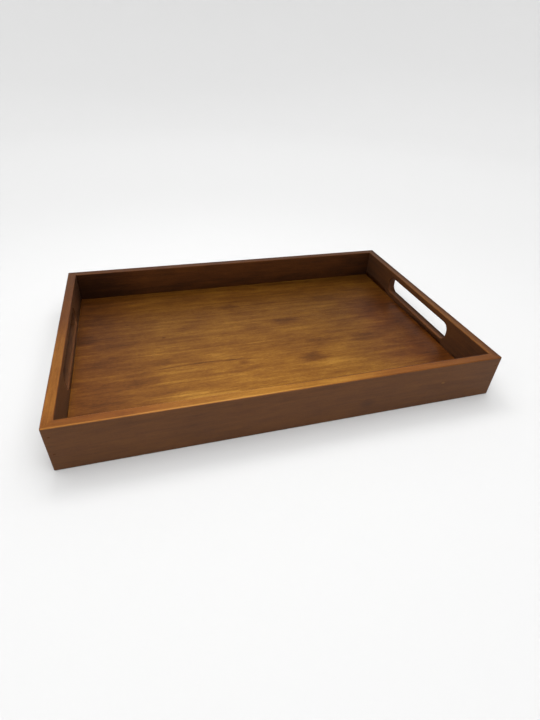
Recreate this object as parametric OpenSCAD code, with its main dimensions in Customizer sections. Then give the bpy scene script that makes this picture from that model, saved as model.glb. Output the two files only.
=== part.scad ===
// Wooden serving tray: a mitred frame of four rails, grooved all round for a bottom panel,
// with a hand slot through each end rail. The corners are glued and held by sunk brads,
// whose holes are filled with putty. The origin is under the middle of the tray.

/* [Tray] */
// Outside length, along X
tray_l = 450; // [405:5:520]
// Outside width, along Y
tray_w = 300; // [270:5:350]
// Outside height of the frame
tray_h = 50; // [46:1:60]
// Thickness of the rails
rail_t = 10; // [8:0.5:12]
// Radius of the eased long edges of the rails
arris_r = 1; // [0.5:0.25:1.5]
// Radius of the upright outer corners
corner_r = 1.5; // [1:0.25:2]

/* [Bottom panel] */
// Thickness of the panel
panel_t = 5.5; // [4:0.5:6]
// Height of the panel's underside above the surface that the tray stands on
recess_h = 8; // [6:0.5:9]
// Depth of the groove in the rails
groove_d = 5; // [4:0.5:5.5]
// Play above the panel in its groove
groove_play = 0.2; // [0.1:0.1:0.4]
// Room left for the panel at the bottom of the groove
groove_room = 0.5; // [0.3:0.1:1]

/* [Hand slots] */
// Length of a slot, along the end rail
slot_l = 140; // [110:5:150]
// Height of a slot
slot_h = 22; // [20:1:24]
// Radius of the slot's corners
slot_r = 9; // [4:1:9]
// Height of the slot's middle above the surface that the tray stands on
slot_z = 31.5; // [30:0.5:32]

/* [Corner brads] */
// Length of a brad
brad_l = 25; // [18:1:30]
// Width of a brad's shank
brad_w = 1.25; // [1:0.05:1.4]
// Thickness of the wire that a brad is made from
brad_t = 1; // [0.8:0.1:1.2]
// Width of the head
head_w = 2; // [1.8:0.1:2.4]
// Thickness of the head
head_t = 0.7; // [0.5:0.1:1]
// Depth that the head is sunk below the wood, filled with putty
set_depth = 1; // [0.8:0.1:1.5]
// Length of the chisel point
point_l = 1.5; // [1:0.25:2]
// Height of the lower brad in a long rail's face
low_brad_z = 20; // [18:1:22]
// Height of the upper brad in a long rail's face
high_brad_z = 40; // [36:1:42]
// Height of the brad in an end rail's face
end_brad_z = 30; // [26:1:33]

/* [Hidden] */
$fn = 64;
past = 1;                               // how far a cutting shape runs past what it cuts
panel_top = recess_h + panel_t;
brad_in = rail_t / 2;                   // from the outer corner to a brad's centre line
panel_l = tray_l - 2 * rail_t + 2 * (groove_d - groove_room);
panel_w = tray_w - 2 * rail_t + 2 * (groove_d - groove_room);

// A rectangle on the origin's first quadrant, with round corners
module round_rect(size, r) {
    translate([r, 0]) square([size[0] - 2 * r, size[1]]);
    translate([0, r]) square([size[0], size[1] - 2 * r]);
    for (x = [r, size[0] - r], y = [r, size[1] - r])
        translate([x, y]) circle(r);
}

// A rail's cross-section: outer face on the Y axis, inner face at rail_t with its groove
module rail_section() {
    difference() {
        round_rect([rail_t, tray_h], arris_r);
        translate([rail_t - groove_d, recess_h])
            square([groove_d + past, panel_t + groove_play]);
    }
}

// The quarter of the plan that one rail fills, between the two mitre lines at its ends.
// The rail lies along X with its outer face towards -Y.
module mitred_plan(long, across) {
    reach = rail_t + past;
    polygon([[-long / 2 - past, -across / 2 - past], [long / 2 + past, -across / 2 - past],
             [long / 2 - reach, -across / 2 + reach], [-long / 2 + reach, -across / 2 + reach]]);
}

// The whole tray's outline in plan, with its eased upright corners
module tray_plan(long, across) {
    translate([-long / 2, -across / 2]) round_rect([long, across], corner_r);
}

// A rail along X, long from corner to corner, that stands on the -Y side of the tray
module mitred_rail(long, across) {
    intersection() {
        translate([-long / 2, -across / 2, 0])
            rotate([90, 0, 90]) linear_extrude(long) rail_section();
        linear_extrude(tray_h) mitred_plan(long, across);
        linear_extrude(tray_h) tray_plan(long, across);
    }
}

// One brad, driven along +X through a face at x = 0, with its head sunk
module brad() {
    head_end = set_depth + head_t;
    tip = set_depth + brad_l;
    translate([0, 0, -brad_t / 2]) linear_extrude(brad_t)
        polygon([[set_depth, -head_w / 2], [head_end, -head_w / 2], [head_end, -brad_w / 2],
                 [tip - point_l, -brad_w / 2], [tip, 0], [tip - point_l, brad_w / 2],
                 [head_end, brad_w / 2], [head_end, head_w / 2], [set_depth, head_w / 2]]);
}

// The putty that fills the hole above a brad's head, flush with the wood
module putty_fill() {
    translate([0, -head_w / 2, -brad_t / 2]) cube([set_depth, head_w, brad_t]);
}

// Places its children at every brad: two through each end of a long rail's face into the
// end rail, and one through each end of an end rail's face into the long rail. A brad's
// head lies along the grain of the rail that it is driven through.
module at_brads() {
    for (sx = [-1, 1], sy = [-1, 1]) {
        for (z = [low_brad_z, high_brad_z])
            translate([sx * (tray_l / 2 - brad_in), sy * tray_w / 2, z])
                rotate([0, 0, -sy * 90]) children();
        translate([sx * tray_l / 2, sy * (tray_w / 2 - brad_in), end_brad_z])
            rotate([0, 0, 90 + sx * 90]) children();
    }
}

// Takes the brads and their putty out of a rail
module drilled() {
    difference() {
        children();
        at_brads() { brad(); }
        at_brads() { putty_fill(); }
    }
}

module front_rail() {
    color("sienna") drilled() mitred_rail(tray_l, tray_w);
}

module back_rail() {
    color("sienna") drilled() rotate([0, 0, 180]) mitred_rail(tray_l, tray_w);
}

// An end rail with its hand slot; turn is the angle that brings it to its side of the tray
module end_rail(turn) {
    color("saddlebrown") drilled() rotate([0, 0, turn]) difference() {
        mitred_rail(tray_w, tray_l);
        translate([-slot_l / 2, -tray_l / 2 + rail_t + past, slot_z - slot_h / 2])
            rotate([90, 0, 0]) linear_extrude(rail_t + 2 * past)
                round_rect([slot_l, slot_h], slot_r);
    }
}

module left_end_rail() { end_rail(-90); }

module right_end_rail() { end_rail(90); }

module bottom_panel() {
    color("peru") translate([-panel_l / 2, -panel_w / 2, recess_h])
        cube([panel_l, panel_w, panel_t]);
}

module corner_brads() {
    color("silver") at_brads() brad();
}

module brad_putty() {
    color("tan") at_brads() putty_fill();
}

front_rail();
back_rail();
left_end_rail();
right_end_rail();
bottom_panel();
corner_brads();
brad_putty();
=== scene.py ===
# A wooden serving tray: four mitred rails round a grooved-in panel, stained brown and lacquered.
import math

import bmesh
import bpy
from mathutils import Matrix, Vector


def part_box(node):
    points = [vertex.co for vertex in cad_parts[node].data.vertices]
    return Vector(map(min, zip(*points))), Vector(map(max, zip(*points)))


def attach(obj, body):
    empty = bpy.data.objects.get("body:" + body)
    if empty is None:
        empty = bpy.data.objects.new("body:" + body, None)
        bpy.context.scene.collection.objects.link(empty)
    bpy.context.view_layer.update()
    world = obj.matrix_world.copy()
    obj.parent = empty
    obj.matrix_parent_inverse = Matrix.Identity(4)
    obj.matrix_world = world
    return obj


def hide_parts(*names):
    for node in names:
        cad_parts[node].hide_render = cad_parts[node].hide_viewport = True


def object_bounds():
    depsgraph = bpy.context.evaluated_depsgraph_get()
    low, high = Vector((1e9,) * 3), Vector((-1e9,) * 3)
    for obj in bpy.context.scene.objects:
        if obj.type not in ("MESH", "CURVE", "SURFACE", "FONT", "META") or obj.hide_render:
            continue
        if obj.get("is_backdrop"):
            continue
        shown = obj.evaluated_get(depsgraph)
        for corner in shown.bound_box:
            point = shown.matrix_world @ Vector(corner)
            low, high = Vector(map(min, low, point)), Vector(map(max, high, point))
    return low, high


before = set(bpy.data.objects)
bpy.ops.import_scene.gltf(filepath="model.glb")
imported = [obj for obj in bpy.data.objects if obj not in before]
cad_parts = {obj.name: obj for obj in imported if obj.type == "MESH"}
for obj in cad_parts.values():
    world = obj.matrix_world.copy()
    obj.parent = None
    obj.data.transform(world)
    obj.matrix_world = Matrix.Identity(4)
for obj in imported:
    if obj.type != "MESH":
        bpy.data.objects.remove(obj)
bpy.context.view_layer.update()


# ---- Studio ------------------------------------------------------------------------------
# The tray stands in a wide dish of pale paper whose side sweeps up all round it. Small soft
# boxes hang over its front half and miss the paper, weaker ones skim in from behind, and one
# more high up lights the paper alone.

PAPER_GREY = 0.45
PAPER_FLAT_RADIUS = 1.6
SWEEP_RADIUS = 1.4
PAPER_TOP = 3.2

paper_mesh = bmesh.new()
paper_line = [paper_mesh.verts.new((x, 0, 0)) for x in (0, PAPER_FLAT_RADIUS)]
paper_mesh.edges.new(paper_line)
bmesh.ops.spin(
    paper_mesh,
    geom=[paper_line[1]],
    cent=(PAPER_FLAT_RADIUS, 0, SWEEP_RADIUS),
    axis=(0, -1, 0),
    angle=math.pi / 2,
    steps=24,
)
paper_mesh.verts.ensure_lookup_table()
lip = max(paper_mesh.verts, key=lambda v: v.co.z)
paper_mesh.edges.new((lip, paper_mesh.verts.new((lip.co.x, 0, PAPER_TOP))))
bmesh.ops.spin(
    paper_mesh,
    geom=paper_mesh.verts[:] + paper_mesh.edges[:],
    cent=(0, 0, 0),
    axis=(0, 0, 1),
    angle=2 * math.pi,
    steps=96,
    use_merge=True,
)
bmesh.ops.remove_doubles(paper_mesh, verts=paper_mesh.verts, dist=1e-5)
bmesh.ops.recalc_face_normals(paper_mesh, faces=paper_mesh.faces)

paper = bpy.data.objects.new("studio_floor", bpy.data.meshes.new("studio_floor"))
paper_mesh.to_mesh(paper.data)
paper_mesh.free()
paper.data.shade_smooth()
bpy.context.scene.collection.objects.link(paper)
paper_finish = bpy.data.materials.new("pale_paper")
paper_finish.use_nodes = True
paper_surface = paper_finish.node_tree.nodes["Principled BSDF"].inputs
paper_surface["Base Color"].default_value = (PAPER_GREY, PAPER_GREY, PAPER_GREY, 1)
paper_surface["Roughness"].default_value = 1.0
paper_surface["Specular IOR Level"].default_value = 0.0
paper.data.materials.append(paper_finish)
paper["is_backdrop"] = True


def soft_box(name, place, aim, size, watts, spread=180):
    lamp = bpy.data.lights.new(name, "AREA")
    lamp.shape = "RECTANGLE"
    lamp.size, lamp.size_y = size
    lamp.energy = watts
    lamp.spread = math.radians(spread)
    light = bpy.data.objects.new(name, lamp)
    light.matrix_world = Matrix.Translation(place) @ (
        (Vector(aim) - Vector(place)).to_track_quat("-Z", "Y").to_matrix().to_4x4()
    )
    light.visible_camera = False
    bpy.context.scene.collection.objects.link(light)
    return light


OVER_LEFT = (-0.18, -0.15, 1.1)
OVER_RIGHT = (0.06, -0.20, 1.1)
OVER_MIDDLE = (-0.05, -0.20, 0.8)


def straight_below(place):
    return (place[0], place[1], 0)


tray_only = bpy.data.collections.new("all_but_the_paper")
tray_only.objects.link(paper)
tray_only.collection_objects[0].light_linking.link_state = "EXCLUDE"
for light in (
    soft_box("key_left", OVER_LEFT, straight_below(OVER_LEFT), (0.3, 0.3), 0.81, spread=45),
    soft_box("key_right", OVER_RIGHT, straight_below(OVER_RIGHT), (0.3, 0.3), 1.03, spread=45),
    soft_box("key_middle", OVER_MIDDLE, straight_below(OVER_MIDDLE), (0.25, 0.25), 0.15, spread=35),
):
    light.light_linking.receiver_collection = tray_only
soft_box("top_back", (-0.1, 0.6, 1.2), (-0.05, -0.1, 0), (0.5, 0.4), 0.7, spread=60)
soft_box("back_low", (0, 1.8, 0.85), (0, 0, 0), (1.5, 0.6), 1.3)
soft_box("back_right", (1.4, 1.2, 1.1), (0, 0, 0), (1, 1), 1.7)
paper_light = soft_box("paper_light", (0, 0, 3.0), (0, 0, 0), (5, 5), 275)
lit_by_paper_light = bpy.data.collections.new("lit_by_paper_light")
lit_by_paper_light.objects.link(paper)
paper_light.light_linking.receiver_collection = lit_by_paper_light

world = bpy.data.worlds.new("studio")
world.use_nodes = True
world.node_tree.nodes["Background"].inputs["Color"].default_value = (1, 1, 1, 1)
world.node_tree.nodes["Background"].inputs["Strength"].default_value = 0.02
bpy.context.scene.world = world
bpy.context.scene.view_settings.view_transform = "Standard"

CAMERA_PLACE = (-0.1260, -0.4360, 0.3072)
CAMERA_YAW = math.radians(17.94)
CAMERA_PITCH = math.radians(36.04)
CAMERA_ROLL = math.radians(3.02)

camera = bpy.data.objects.new("camera", bpy.data.cameras.new("camera"))
camera.data.lens = 21.66
camera.data.sensor_width = 36
camera.data.clip_start = 0.02
camera.matrix_world = (
    Matrix.Translation(CAMERA_PLACE)
    @ Matrix.Rotation(-CAMERA_YAW, 4, "Z")
    @ Matrix.Rotation(math.pi / 2 - CAMERA_PITCH, 4, "X")
    @ Matrix.Rotation(CAMERA_ROLL, 4, "Z")
)
bpy.context.scene.collection.objects.link(camera)
bpy.context.scene.camera = camera


# ---- Rails -------------------------------------------------------------------------------
# Four boards of close-grained hardwood, grooved inside for the panel and mitred at the ends.
# They are glued and bradded into a frame, and then the whole frame is sanded, so the eased
# edges run on round the corners. Each end rail has a hand slot cut through it.

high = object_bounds()[1]
HALF_L = high.x
HALF_W = high.y
HEIGHT = high.z
RAIL_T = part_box("left_end_rail")[1].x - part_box("left_end_rail")[0].x
GROOVE_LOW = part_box("bottom_panel")[0].z
GROOVE_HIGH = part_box("bottom_panel")[1].z + 0.0002
GROOVE_D = 0.005
CORNER_R = 0.0015
ARRIS_R = 0.001
MITRE_EASE = 0.00012
SLOT_HALF_L = 0.070
SLOT_HALF_H = 0.011
SLOT_R = 0.009
SLOT_Z = 0.0315
SLOT_EASE = 0.001


def bevel(mesh, edges, width, segments):
    return bmesh.ops.bevel(
        mesh,
        geom=edges,
        offset=width,
        offset_type="OFFSET",
        affect="EDGES",
        segments=segments,
        profile=0.5,
        material=-1,
        clamp_overlap=False,
    )


def frame_ring():
    section = [(0, 0), (0, HEIGHT), (RAIL_T, HEIGHT), (RAIL_T, GROOVE_HIGH),
               (RAIL_T - GROOVE_D, GROOVE_HIGH), (RAIL_T - GROOVE_D, GROOVE_LOW),
               (RAIL_T, GROOVE_LOW), (RAIL_T, 0)]
    mesh = bmesh.new()
    loops = []
    for side_x, side_y in ((-1, -1), (1, -1), (1, 1), (-1, 1)):
        verts = [mesh.verts.new((side_x * (HALF_L - depth), side_y * (HALF_W - depth), z))
                 for depth, z in section]
        loops.append([mesh.edges.new((a, b)) for a, b in zip(verts, verts[1:] + verts[:1])])
    for loop, following in zip(loops, loops[1:] + loops[:1]):
        bmesh.ops.bridge_loops(mesh, edges=loop + following)
    bmesh.ops.recalc_face_normals(mesh, faces=mesh.faces)
    bevel(mesh, [loop[0] for loop in loops], CORNER_R, 4)
    level = [e for e in mesh.edges if abs(e.verts[0].co.z - e.verts[1].co.z) < 1e-6]
    bevel(mesh, [e for e in level if not GROOVE_LOW / 2 < e.verts[0].co.z < HEIGHT - RAIL_T / 2
                 and e.calc_face_angle(0) > 0.5], ARRIS_R, 5)
    bmesh.ops.remove_doubles(mesh, verts=mesh.verts, dist=0.00015)
    return mesh


def cut_mitre(mesh, corner, away, grain):
    bmesh.ops.bisect_plane(
        mesh,
        geom=mesh.verts[:] + mesh.edges[:] + mesh.faces[:],
        dist=1e-6,
        plane_co=corner,
        plane_no=away,
        clear_outer=True,
    )
    rim = [e for e in mesh.edges if e.is_boundary and all(
        abs((v.co - Vector(corner)).xy.dot(Vector(away).xy)) < 1e-5 for v in e.verts)]
    face = bmesh.ops.edgeloop_fill(mesh, edges=rim)["faces"]
    mesh.normal_update()
    rim_verts = list({v for e in rim for v in e.verts})
    bmesh.ops.inset_region(mesh, faces=face, thickness=MITRE_EASE)
    inward = -MITRE_EASE * math.copysign(1, Vector(away).dot(grain)) * Vector(grain)
    bmesh.ops.translate(mesh, verts=rim_verts, vec=inward)


def cut_hand_slot(mesh):
    def main_faces():
        return [f for f in mesh.faces if abs(f.normal.x) > 0.99 and f.calc_area() > 1e-6
                and max(v.co.z for v in f.verts) > GROOVE_HIGH + 0.001]

    planes = [((0, side * SLOT_HALF_L, 0), (0, 1, 0)) for side in (-1, 1)]
    planes += [((0, 0, SLOT_Z + side * SLOT_HALF_H), (0, 0, 1)) for side in (-1, 1)]
    for point, normal in planes:
        faces = main_faces()
        edges = {e for f in faces for e in f.edges}
        verts = {v for f in faces for v in f.verts}
        bmesh.ops.bisect_plane(mesh, geom=[*faces, *edges, *verts], plane_co=point, plane_no=normal)
    doors = [f for f in main_faces()
             if abs(f.calc_center_median().y) < 0.001 and abs(f.calc_center_median().z - SLOT_Z) < 0.001]
    rims = [e for f in doors for e in f.edges]
    bmesh.ops.delete(mesh, geom=doors, context="FACES_ONLY")
    tunnel = bmesh.ops.bridge_loops(mesh, edges=rims)["faces"]
    corners = {e for f in tunnel for e in f.edges} - set(rims)
    bevel(mesh, list(corners), SLOT_R, 12)
    rims = [e for e in mesh.edges if e.is_manifold and e.calc_face_angle(0) > 1.0
            and abs(e.verts[0].co.x - e.verts[1].co.x) < 1e-6
            and all(abs(v.co.y) < SLOT_HALF_L + 0.001 for v in e.verts)
            and all(abs(v.co.z - SLOT_Z) < SLOT_HALF_H + 0.001 for v in e.verts)]
    bevel(mesh, rims, SLOT_EASE, 4)


def placed(name, mesh):
    piece = bpy.data.objects.new(name, bpy.data.meshes.new(name))
    mesh.to_mesh(piece.data)
    mesh.free()
    bpy.context.scene.collection.objects.link(piece)
    return piece


def bore_for_brads(piece):
    """Takes the room of the brads and of their putty out of a rail."""
    for node in ("corner_brads", "brad_putty"):
        solids = bmesh.new()
        solids.from_mesh(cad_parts[node].data)
        bmesh.ops.remove_doubles(solids, verts=solids.verts, dist=1e-6)
        bit = placed(node + "_bit", solids)
        bore = piece.modifiers.new("bore", "BOOLEAN")
        bore.operation = "DIFFERENCE"
        bore.solver = "EXACT"
        bore.object = bit
        bored = bpy.data.meshes.new_from_object(piece.evaluated_get(bpy.context.evaluated_depsgraph_get()))
        piece.modifiers.clear()
        piece.data = bored
        bpy.data.objects.remove(bit)


def finish_piece(piece, material):
    piece.data.materials.clear()
    piece.data.materials.append(material)
    piece.data.shade_smooth()
    piece.data.set_sharp_from_angle(angle=math.radians(50))
    even = piece.modifiers.new("even_shading", "WEIGHTED_NORMAL")
    even.keep_sharp = True


class Wire:
    """One output of a node in a finish. Arithmetic on it adds Math nodes."""

    def __init__(self, finish, socket):
        self.finish = finish
        self.socket = socket

    def __add__(self, other):
        return self.finish.maths("ADD", self, other)

    def __radd__(self, other):
        return self.finish.maths("ADD", other, self)

    def __sub__(self, other):
        return self.finish.maths("SUBTRACT", self, other)

    def __rsub__(self, other):
        return self.finish.maths("SUBTRACT", other, self)

    def __mul__(self, other):
        return self.finish.maths("MULTIPLY", self, other)

    def __rmul__(self, other):
        return self.finish.maths("MULTIPLY", other, self)

    def __truediv__(self, other):
        return self.finish.maths("DIVIDE", self, other)

    def __pow__(self, other):
        return self.finish.maths("POWER", self, other)

    def __abs__(self):
        return self.finish.maths("ABSOLUTE", self)

    def within(self, start, end):
        """0 before start, 1 after end and a smooth rise between them."""
        return self.finish.add(
            "ShaderNodeMapRange",
            {"interpolation_type": "SMOOTHSTEP"},
            {"Value": self, "From Min": start, "From Max": end},
        )


class Finish:
    """A material and the nodes that make its pattern."""

    def __init__(self, name):
        self.material = bpy.data.materials.new(name)
        self.material.use_nodes = True
        self.tree = self.material.node_tree
        self.surface = self.tree.nodes["Principled BSDF"].inputs
        metres = self.add("ShaderNodeTexCoord", {}, {}, "Object")
        self.place = self.add("ShaderNodeVectorMath", {"operation": "SCALE"}, {0: metres, "Scale": 1000.0})
        self.facing = self.add("ShaderNodeTexCoord", {}, {}, "Normal")

    def add(self, kind, settings, sockets, output=0):
        node = self.tree.nodes.new(kind)
        for name, value in settings.items():
            if name == "stops":
                self.set_stops(node.color_ramp, value)
            else:
                setattr(node, name, value)
        for name, value in sockets.items():
            self.feed(node.inputs[name], value)
        return Wire(self, node.outputs[output])

    def maths(self, operation, *operands):
        return self.add("ShaderNodeMath", {"operation": operation}, dict(enumerate(operands)))

    def feed(self, entry, value):
        if isinstance(value, Wire):
            self.tree.links.new(value.socket, entry)
        else:
            entry.default_value = value

    def set_stops(self, ramp, stops):
        while len(ramp.elements) < len(stops):
            ramp.elements.new(1.0)
        for element, (position, colour) in zip(ramp.elements, stops):
            element.position = position
            element.color = (*colour, 1)

    def axis(self, vector, name):
        return self.add("ShaderNodeSeparateXYZ", {}, {"Vector": vector}, name)

    def ramp(self, amount, positions, colours):
        stops = list(zip(positions, colours))
        return self.add("ShaderNodeValToRGB", {"stops": stops}, {"Fac": amount})

    def blend(self, share, colour, other):
        return self.add(
            "ShaderNodeMix",
            {"data_type": "RGBA"},
            {"Factor": share, "A": colour, "B": other},
            "Result",
        )

    def noise(self, place, cell, detail=2.0, roughness=0.5):
        """Cloudy values about 0.5 whose lumps are cell in size, in millimetres."""
        scaled = self.add("ShaderNodeVectorMath", {"operation": "DIVIDE"}, {0: place, 1: cell})
        return self.add(
            "ShaderNodeTexNoise",
            {"noise_dimensions": "3D"},
            {"Vector": scaled, "Scale": 1.0, "Detail": detail, "Roughness": roughness},
        )


TONE_STOPS = (0.08, 0.36, 0.62, 0.95)
GOLDEN_TONES = (
    (0.045, 0.0142, 0.0020),
    (0.086, 0.0305, 0.0034),
    (0.131, 0.0535, 0.0060),
    (0.218, 0.107, 0.0160),
)
# A greyish painted sheen, mixed into the colour of the faces to stand in for the pale surroundings
# reflected in the lacquer.
PAINTED_SHEEN_GREY = (0.225, 0.168, 0.115, 1)
PAINTED_SHEEN_SHARE = 0.15
GLOSS = 0.08
GRAIN_DEPTH = 0.00006


def stained_wood(finish, turn, start, pith, ring, tones, contrast, tone_and_painted_light, golden, painted_sheen, rough):
    """Stained and lacquered wood. turn is the angle from X to the grain and start moves the
    board to another part of the log, in millimetres. pith is the middle of the growth rings,
    across the grain and in height, and ring is their spacing. tones runs from dark to light.
    contrast is the strength of its figure and the tone argument what else changes its tone, painted
    light and shade among it. golden is how far its colour goes from red-brown to golden, the sheen
    argument how much painted greyish sheen is mixed into its colour and rough is added to its
    roughness."""
    board = finish.add(
        "ShaderNodeMapping",
        {"vector_type": "POINT"},
        {"Vector": finish.place, "Rotation": (0, 0, -turn), "Location": start},
    )
    across = finish.axis(board, "Y")
    height = finish.axis(board, "Z")

    wander = finish.noise(board, (150, 45, 45), 2) - 0.5
    side = across - pith[0] + wander * 26
    drop = height - pith[1]
    radius = (side * side + drop * drop) ** 0.5
    rings = finish.maths("SINE", radius * (2 * math.pi / ring) + finish.noise(board, (60, 9, 9), 2) * 7)

    streaks = finish.noise(board, (75, 4.5, 4.5), 4, 0.62) - 0.5
    clouds = finish.noise(board, (44, 20, 20), 3, 0.55) - 0.5
    lines = finish.noise(board, (26, 1.5, 1.5), 3, 0.6) - 0.5
    fibres = finish.noise(board, (9, 0.8, 0.8), 2, 0.6) - 0.5
    flecks = finish.noise(board, (2.6, 1.0, 1.0), 1) - 0.5
    pores = finish.noise(board, (6, 0.42, 0.42), 1).within(0.60, 0.72)

    along_grain = finish.axis(finish.facing, "Y" if turn else "X")
    end_grain = abs(along_grain) ** 3

    figure = rings * 0.04 + streaks * 0.62 + lines * 0.44 + clouds * 0.62 + fibres * 0.42 + flecks * 0.32
    # The tone added by the callers carries painted light and shade as well as real marks.
    tone = 0.5 + figure * contrast - pores * 0.10 - end_grain * 0.12 + tone_and_painted_light
    red_brown = finish.ramp(tone, TONE_STOPS, tones)
    gold = finish.ramp(tone, TONE_STOPS, GOLDEN_TONES)
    stained = finish.blend(golden, red_brown, gold)
    finish.feed(finish.surface["Base Color"], finish.blend(PAINTED_SHEEN_SHARE * painted_sheen, stained, PAINTED_SHEEN_GREY))
    finish.feed(finish.surface["Roughness"], 0.42 - streaks * 0.12 + pores * 0.12 + rough)
    finish.surface["Specular IOR Level"].default_value = GLOSS
    relief = fibres * 0.5 - pores
    bump = finish.add("ShaderNodeBump", {}, {"Strength": 0.25, "Distance": GRAIN_DEPTH, "Height": relief})
    finish.feed(finish.surface["Normal"], bump)


RAIL_TONES = (
    (0.030, 0.0078, 0.0020),
    (0.078, 0.0215, 0.0034),
    (0.118, 0.0365, 0.0050),
    (0.19, 0.070, 0.010),
)
GRAIN_ALONG_Y = math.pi / 2
INNER_HALF_L = 1000 * (HALF_L - RAIL_T)
INNER_HALF_W = 1000 * (HALF_W - RAIL_T)
RIM_STARTS = (44, 47)
# How far painted shade reaches along the inner faces from the corners, and the middle and reach of the
# painted shade in the back left corner.
CORNER_REACH = 75
SHADED_BACK_CORNER = (-210, 140)
BACK_CORNER_REACH = 90

# For each rail, in millimetres: its two mitres as a corner and the way the waste lies; which
# way its outer face looks; how much lighter its outer arris is, from wear and a painted
# highlight where lighter and as a painted dark reflection where darker; the stretch of its top
# painted paler as lit, as its middle, half its length and how much lighter it is (painted shade
# where darker); how much darker the outer half of its top is painted as shade; how golden its
# top and that painted light stretch are; how much darker its inner face is painted as shade and
# how much painted sheen greys it; its marks, each a place along it, a height, a size and how much
# lighter it is; and the painted lines on the edges of its top, highlights where lighter and dark
# reflections where darker, each the side (1 outer, -1 inner), where it fades in from and to, and
# how much lighter it is.
RAILS = {
    "front_rail": {
        "mitres": ((-1, -1, -1, 1), (1, -1, 1, 1)), "turn": 0, "start": (0, 0, 0), "outward": -1,
        "arris_wear_and_painted_reflection": 0.12, "pale": (-20, 155, 0.13), "outer_half_painted_shade": 0.0, "gold": (0.15, 0.75),
        "inner_painted_shade": 0.03, "inner_painted_sheen": 0.3, "marks": ((159, 27.5, 1.6, 0.5), (73, 17, 7.0, -0.16)),
        "lines": ((-1, -40, 10, -0.40), (1, 60, -100, 0.40)),
    },
    "back_rail": {
        "mitres": ((-1, 1, -1, -1), (1, 1, 1, -1)), "turn": 0, "start": (900, 0, 0), "outward": 1,
        "arris_wear_and_painted_reflection": -0.35, "pale": (0, 200, -0.14), "outer_half_painted_shade": 0.12, "gold": (0.1, 0.1),
        "inner_painted_shade": 0.09, "inner_painted_sheen": 0.35, "marks": (), "lines": (),
    },
    "left_end_rail": {
        "mitres": ((-1, -1, 1, -1), (-1, 1, 1, 1)), "turn": GRAIN_ALONG_Y, "start": (1700, 0, 0),
        "outward": -1, "arris_wear_and_painted_reflection": -0.1, "pale": (-80, 110, 0.20), "outer_half_painted_shade": 0.0, "gold": (0.1, 0.1),
        "inner_painted_shade": 0.0, "inner_painted_sheen": 1.2, "marks": (), "lines": (),
    },
    "right_end_rail": {
        "mitres": ((1, -1, -1, -1), (1, 1, -1, 1)), "turn": GRAIN_ALONG_Y, "start": (2600, 0, 0),
        "outward": 1, "arris_wear_and_painted_reflection": -0.45, "pale": (-60, 90, 0.02), "outer_half_painted_shade": 0.22, "gold": (0.3, 0.2),
        "inner_painted_shade": 0.04, "inner_painted_sheen": 0.7, "marks": (), "lines": ((-1, 60, 0, 0.14),),
    },
}


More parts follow.
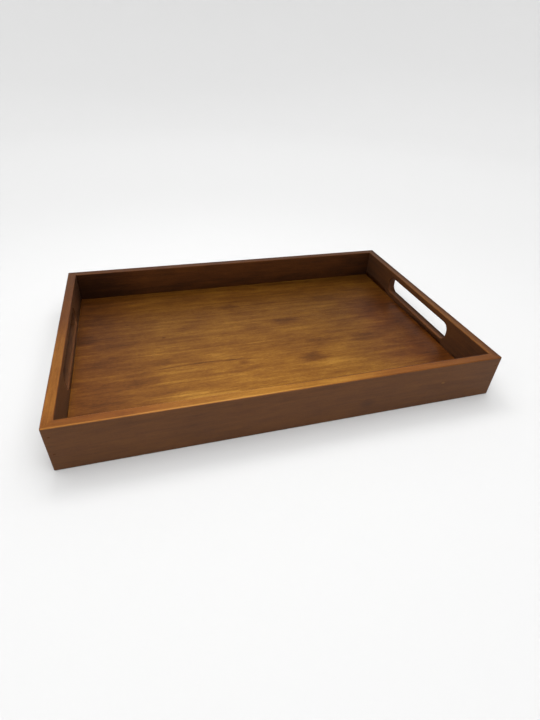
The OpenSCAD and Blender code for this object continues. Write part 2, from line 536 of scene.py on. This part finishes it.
def rail_wood(name, rail):
    finish = Finish(name)
    x = finish.axis(finish.place, "X")
    y = finish.axis(finish.place, "Y")
    z = finish.axis(finish.place, "Z")
    along, half_length = (y, INNER_HALF_W) if rail["turn"] else (x, INNER_HALF_L)
    across, inner_half = (x, INNER_HALF_L) if rail["turn"] else (y, INNER_HALF_W)
    off_middle = abs(across) - (inner_half + 500 * RAIL_T)
    outward = finish.axis(finish.facing, "X" if rail["turn"] else "Y") * rail["outward"]
    upward = finish.axis(finish.facing, "Z")

    rim = z.within(*RIM_STARTS)
    top = upward.within(0.80, 0.97) * rim
    arris = upward * outward * 2 * rim
    # The outer arris: lighter on the front rail from wear and a painted highlight, darker on the others as
    # a painted dark reflection. Patches break it up.
    arris_patches = finish.noise(finish.place, (30, 30, 30), 3).within(0.42, 0.60)
    outer_arris = arris.within(0.40, 0.85) * (0.4 + arris_patches * 0.6)
    outer_half = top * off_middle.within(-1, 1)
    inner_face = (0 - outward).within(0.80, 0.97)
    outer_face = outward.within(0.70, 0.97)
    # Painted shade on the inner faces grows towards the floor, towards the ends and into the back left
    # corner.
    painted_shade_near_floor = 1 - z.within(14, 36)
    painted_shade_near_corner = abs(along).within(half_length - CORNER_REACH, half_length)
    off_corner_x = (x - SHADED_BACK_CORNER[0]) / BACK_CORNER_REACH
    off_corner_y = (y - SHADED_BACK_CORNER[1]) / BACK_CORNER_REACH
    painted_shade_back_corner = 1 - (off_corner_x * off_corner_x + off_corner_y * off_corner_y).within(0.0, 1.0)
    # Painted light: the whole top is painted a little lighter, as lit from above, and a stretch of it
    # paler still where light falls most (darker, as painted shade, on the back rail).
    pale_middle, pale_half_length, paler = rail["pale"]
    pale = top * (1 - abs(along - pale_middle).within(0.25 * pale_half_length, pale_half_length))

    # The outer half of the top and the inner face are painted darker as shade.
    tone_and_painted_light = (
        top * 0.04
        + pale * paler
        + outer_arris * rail["arris_wear_and_painted_reflection"]
        - outer_half * rail["outer_half_painted_shade"]
        - inner_face * (rail["inner_painted_shade"] + painted_shade_near_floor * 0.14 + painted_shade_near_corner * 0.15 + painted_shade_back_corner * 0.16)
    )
    for mark_along, mark_z, size, lighter in rail["marks"]:
        off_along = (along - mark_along) / (size * 1.6)
        off_z = (z - mark_z) / size
        tone_and_painted_light = tone_and_painted_light + (1 - (off_along * off_along + off_z * off_z).within(0.1, 1.0)) * lighter
    # Painted lines along the edges of the top: lighter ones are painted highlights, darker ones painted
    # dark reflections.
    for side, fade_from, fade_to, lighter in rail["lines"]:
        line = rim * upward.within(0.3, 0.6) * (off_middle * side).within(3.3, 4.0)
        tone_and_painted_light = tone_and_painted_light + line * along.within(fade_from, fade_to) * lighter
    # The top and its painted light stretch are painted more golden, as lit.
    golden_top, golden_light_stretch = rail["gold"]
    golden = top * golden_top + pale * golden_light_stretch
    # Painted sheen on the outer face and, by the rail's amount, on the inner face, less in the shaded back
    # left corner.
    painted_sheen = outer_face + inner_face * rail["inner_painted_sheen"] * (1 - painted_shade_back_corner * 0.35)
    rough = 0.0
    # In the hand slot the upward sill is painted a little darker as shade and greyed by painted sheen; its
    # lacquer is rougher.
    if rail["turn"]:
        slot_half_h = 1000 * SLOT_HALF_H
        off_slot = abs(z - 1000 * SLOT_Z).within(slot_half_h + 0.5, slot_half_h + 1.5)
        in_slot = (1 - abs(outward).within(0.3, 0.6)) * (1 - off_slot)
        tone_and_painted_light = tone_and_painted_light - in_slot * upward.within(0.5, 0.9) * 0.04
        painted_sheen = painted_sheen + in_slot * 0.5
        rough = in_slot * 0.2
    stained_wood(finish, rail["turn"], rail["start"], (-12, -38), 5.5, RAIL_TONES, 0.65,
                 tone_and_painted_light, golden, painted_sheen, rough)
    return finish.material


for node, rail in RAILS.items():
    mesh = frame_ring()
    for corner_x, corner_y, away_x, away_y in rail["mitres"]:
        cut_mitre(mesh, (corner_x * HALF_L, corner_y * HALF_W, 0), (away_x, away_y, 0),
                  (0, 1, 0) if rail["turn"] else (1, 0, 0))
    if rail["turn"]:
        cut_hand_slot(mesh)
    piece = placed(node + "_board", mesh)
    bore_for_brads(piece)
    finish_piece(piece, rail_wood(node + "_wood", rail))
    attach(piece, "root")
    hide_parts(node)


# ---- Bottom panel ------------------------------------------------------------------------
# A thin sheet with a figured face, its grain along the tray. It lies in the rails' grooves,
# stained and lacquered with them.

PANEL_EASE = 0.0003
PANEL_TONES = (
    (0.036, 0.0096, 0.0016),
    (0.074, 0.0208, 0.0028),
    (0.120, 0.0408, 0.0050),
    (0.20, 0.086, 0.0125),
)

# Each mark on the floor: its middle, half its length, half its width, how far its line bends
# away at 100 mm, and how much lighter it is. Millimetres.
FLOOR_MARKS = (
    (-78, -98.0, 48, 3.4, 0.0, 0.24),
    (45, -96.0, 70, 3.0, 0.0, 0.14),
    (-60, -13.0, 120, 1.8, 0.0, 0.20),
    (120, -14.0, 70, 2.0, 0.0, 0.10),
    (-90, -67.0, 85, 3.2, -9.0, 0.20),
    (-85, -92.0, 50, 2.2, 6.0, 0.18),
    (-60, 9.0, 16, 4.0, 0.0, 0.14),
    (35, 10.0, 38, 3.0, 0.0, 0.10),
    (150, 2.0, 28, 11.0, 0.0, 0.10),
    (-80, -40.0, 85, 1.4, -11.5, -0.34),
    (44, 26.0, 26, 11.0, 0.0, -0.20),
    (-3, 23.0, 16, 8.0, 0.0, -0.18),
    (51, -57.0, 24, 11.0, 0.0, -0.30),
    (76, -25.0, 32, 9.0, 0.0, -0.22),
    (132, -29.0, 30, 12.0, 0.0, -0.22),
    (-31, -49.0, 8, 4.5, 0.0, -0.24),
    (-21, 76.0, 15, 12.0, 0.0, -0.18),
    (116, 77.0, 24, 10.0, 0.0, -0.15),
    (-115, 21.0, 3, 2.2, 0.0, -0.34),
    (-207, 32.0, 16, 15.0, 0.0, -0.20),
    (-59, -65.0, 40, 3.0, 0.0, -0.14),
    (-115, -83.0, 42, 5.0, 0.0, -0.12),
    (-121, -30.0, 18, 7.0, 0.0, -0.12),
    (-205, -52.0, 20, 7.0, 0.0, -0.16),
)


def panel_wood():
    finish = Finish("bottom_panel_wood")
    x = finish.axis(finish.place, "X")
    y = finish.axis(finish.place, "Y")
    ragged = finish.noise(finish.place, (14, 1.5, 10), 4, 0.7) - 0.5
    tone_and_painted_light = ragged * 0.10
    for middle_x, middle_y, half_l, half_w, bend, lighter in FLOOR_MARKS:
        off_x = x - middle_x
        along = off_x / half_l
        off_line = (y - middle_y - off_x * off_x * (bend * 1e-4)) / half_w
        reach = along * along + off_line * off_line + ragged * 2.2
        tone_and_painted_light = tone_and_painted_light + (1 - reach.within(-0.1, 1.1)) * lighter

    # Painted light and shade on the floor: darker at the left end and towards the back, lighter in the
    # front middle, a patchy painted reflection of the dark right wall in a band near it, and painted shade
    # where the floor meets the right wall.
    painted_shade_left_end = 1 - x.within(-225, -95)
    painted_shade_back = y.within(10, 140)
    painted_light_front_middle = (1 - abs(x - 20).within(40, 190)) * (1 - y.within(-110, -10))
    reflection_patches = finish.noise(finish.place, (50, 40, 10), 2).within(0.30, 0.62)
    painted_reflection_right_band = x.within(110, 175) * (1 - x.within(182, 208)) * (1 - y.within(30, 120))
    painted_reflection_right_band = painted_reflection_right_band * (0.6 + reflection_patches * 0.4)
    painted_shade_right_edge = x.within(178, 208) * (1 - y.within(30, 110) * 0.8)
    rail_gap = finish.maths("MINIMUM", INNER_HALF_L - abs(x), INNER_HALF_W - abs(y))
    lacquer_line = 1 - rail_gap.within(0.5, 1.8)
    tone_and_painted_light = tone_and_painted_light + lacquer_line * (0.12 - painted_shade_right_edge * 0.12) + painted_light_front_middle * 0.10
    tone_and_painted_light = tone_and_painted_light - painted_shade_left_end * 0.18 - painted_shade_back * 0.11 - painted_reflection_right_band * 0.20 - painted_shade_right_edge * 0.24
    # The painted shade and reflection are also painted less golden.
    golden = 1 - painted_shade_left_end * 0.7 - painted_reflection_right_band * 1.1 - painted_shade_right_edge
    stained_wood(finish, 0, (3700, 0, 0), (-25, -70), 9.0, PANEL_TONES, 1.0,
                 tone_and_painted_light, golden, 0.0, 0.0)
    return finish.material


mesh = bmesh.new()
bmesh.ops.create_cube(mesh, size=1)
panel_low, panel_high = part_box("bottom_panel")
bmesh.ops.scale(mesh, verts=mesh.verts, vec=panel_high - panel_low)
bmesh.ops.translate(mesh, verts=mesh.verts, vec=(panel_low + panel_high) / 2)
bevel(mesh, mesh.edges[:], PANEL_EASE, 2)
panel = placed("bottom_panel_sheet", mesh)
finish_piece(panel, panel_wood())
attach(panel, "root")
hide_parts("bottom_panel")


# ---- Brads -------------------------------------------------------------------------------
# Twelve brads of bright drawn wire, three at each corner, sunk below the wood.

steel = Finish("brad_steel")
scratches = steel.noise(steel.place, (0.6, 0.6, 0.6), 3)
steel.surface["Base Color"].default_value = (0.55, 0.55, 0.56, 1)
steel.surface["Metallic"].default_value = 1.0
steel.feed(steel.surface["Roughness"], 0.25 + scratches * 0.2)
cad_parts["corner_brads"].data.materials.clear()
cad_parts["corner_brads"].data.materials.append(steel.material)


# ---- Putty -------------------------------------------------------------------------------
# Coloured filler over each brad's head, wiped flush and lacquered over with the wood.

putty = Finish("brad_putty_filler")
grit = putty.noise(putty.place, (0.3, 0.3, 0.3), 3)
putty.feed(
    putty.surface["Base Color"],
    putty.ramp(grit, (0.3, 0.7), ((0.066, 0.0190, 0.0030), (0.092, 0.0280, 0.0042))),
)
putty.feed(putty.surface["Roughness"], 0.42 + grit * 0.12)
putty.surface["Specular IOR Level"].default_value = GLOSS
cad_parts["brad_putty"].data.materials.clear()
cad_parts["brad_putty"].data.materials.append(putty.material)
